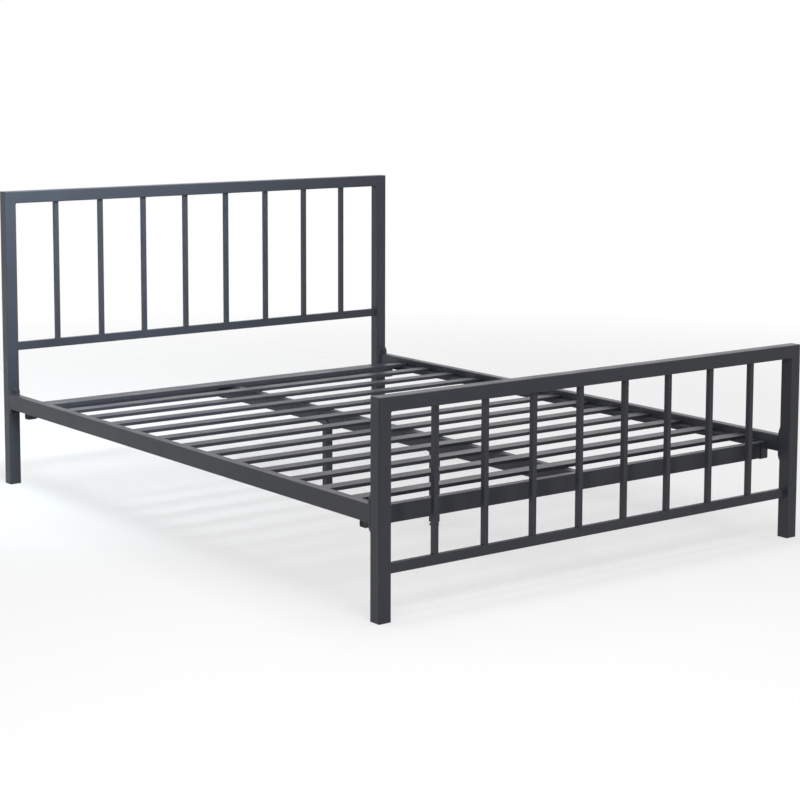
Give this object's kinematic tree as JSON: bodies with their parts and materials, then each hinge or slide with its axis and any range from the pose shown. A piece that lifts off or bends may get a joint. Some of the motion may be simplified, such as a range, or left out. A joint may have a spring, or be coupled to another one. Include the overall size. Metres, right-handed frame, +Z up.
{
  "type": "metal bed frame",
  "caption": "Welded square-tube bed frame with spindle headboard and footboard, bolted side rails, crossbars, slats and a centre beam on adjustable legs.",
  "frame": {"origin": "on the floor, in the middle of the bed frame", "axes": "+Z up, +Y from the footboard to the headboard, +X to the right as seen from the foot"},
  "size_m": [1.59, 2.15, 0.998],
  "materials": {
    "charcoal_powder_coat": "satin charcoal powder coat on steel tube",
    "black_oxide_steel": "blackened steel bolt",
    "zinc_steel": "zinc-plated steel fastener",
    "black_plastic": "moulded black nylon"
  },
  "bodies": {
    "frame": {"centre_beam": "charcoal_powder_coat", "centre_leg_foot": "charcoal_powder_coat", "centre_leg_head": "charcoal_powder_coat", "crossbar_foot": "charcoal_powder_coat", "crossbar_head": "charcoal_powder_coat", "footboard_lower_rail": "charcoal_powder_coat", "footboard_post_left": "charcoal_powder_coat", "footboard_post_right": "charcoal_powder_coat", "footboard_spindle_1": "charcoal_powder_coat", "footboard_spindle_2": "charcoal_powder_coat", "footboard_spindle_3": "charcoal_powder_coat", "footboard_spindle_4": "charcoal_powder_coat", "footboard_spindle_5": "charcoal_powder_coat", "footboard_spindle_6": "charcoal_powder_coat", "footboard_spindle_7": "charcoal_powder_coat", "footboard_spindle_8": "charcoal_powder_coat", "footboard_top_rail": "charcoal_powder_coat", "headboard_lower_rail": "charcoal_powder_coat", "headboard_post_left": "charcoal_powder_coat", "headboard_post_right": "charcoal_powder_coat", "headboard_spindle_1": "charcoal_powder_coat", "headboard_spindle_2": "charcoal_powder_coat", "headboard_spindle_3": "charcoal_powder_coat", "headboard_spindle_4": "charcoal_powder_coat", "headboard_spindle_5": "charcoal_powder_coat", "headboard_spindle_6": "charcoal_powder_coat", "headboard_spindle_7": "charcoal_powder_coat", "headboard_spindle_8": "charcoal_powder_coat", "headboard_top_rail": "charcoal_powder_coat", "leg_bolts": "zinc_steel", "leg_cradles": "charcoal_powder_coat", "leg_inserts": "black_plastic", "post_glides": "black_plastic", "post_plates": "charcoal_powder_coat", "rail_bolts": "black_oxide_steel", "rail_end_plates": "charcoal_powder_coat", "saddle_brackets": "charcoal_powder_coat", "side_rail_left": "charcoal_powder_coat", "side_rail_right": "charcoal_powder_coat", "slat_1": "charcoal_powder_coat", "slat_10": "charcoal_powder_coat", "slat_11": "charcoal_powder_coat", "slat_12": "charcoal_powder_coat", "slat_13": "charcoal_powder_coat", "slat_2": "charcoal_powder_coat", "slat_3": "charcoal_powder_coat", "slat_4": "charcoal_powder_coat", "slat_5": "charcoal_powder_coat", "slat_6": "charcoal_powder_coat", "slat_7": "charcoal_powder_coat", "slat_8": "charcoal_powder_coat", "slat_9": "charcoal_powder_coat", "slat_end_plugs": "black_plastic", "slat_ledge_left": "charcoal_powder_coat", "slat_ledge_right": "charcoal_powder_coat"},
    "foot_pad_foot": {"foot_pad_foot": "black_plastic"},
    "foot_pad_head": {"foot_pad_head": "black_plastic"},
    "foot_stud_foot": {"foot_stud_foot": "zinc_steel"},
    "foot_stud_head": {"foot_stud_head": "zinc_steel"}
  },
  "joints": [
    {"name": "foot_slide_foot", "type": "slide", "parent": "frame", "child": "foot_pad_foot", "axis": [0, 0, 1], "range_m": [-0.015, 0.002]},
    {"name": "stud_turn_foot", "type": "hinge", "parent": "foot_pad_foot", "child": "foot_stud_foot", "pos_m": [0, -0.291, 0], "axis": [0, 0, 1], "range_deg": [-4320, 576]},
    {"name": "foot_slide_head", "type": "slide", "parent": "frame", "child": "foot_pad_head", "axis": [0, 0, 1], "range_m": [-0.015, 0.002]},
    {"name": "stud_turn_head", "type": "hinge", "parent": "foot_pad_head", "child": "foot_stud_head", "pos_m": [0, 0.291, 0], "axis": [0, 0, 1], "range_deg": [-4320, 576]}
  ],
  "couplings": [
    {"joint": "stud_turn_foot", "follows": "foot_slide_foot", "rad_per_m": 5026.5},
    {"joint": "stud_turn_head", "follows": "foot_slide_head", "rad_per_m": 5026.5}
  ]
}
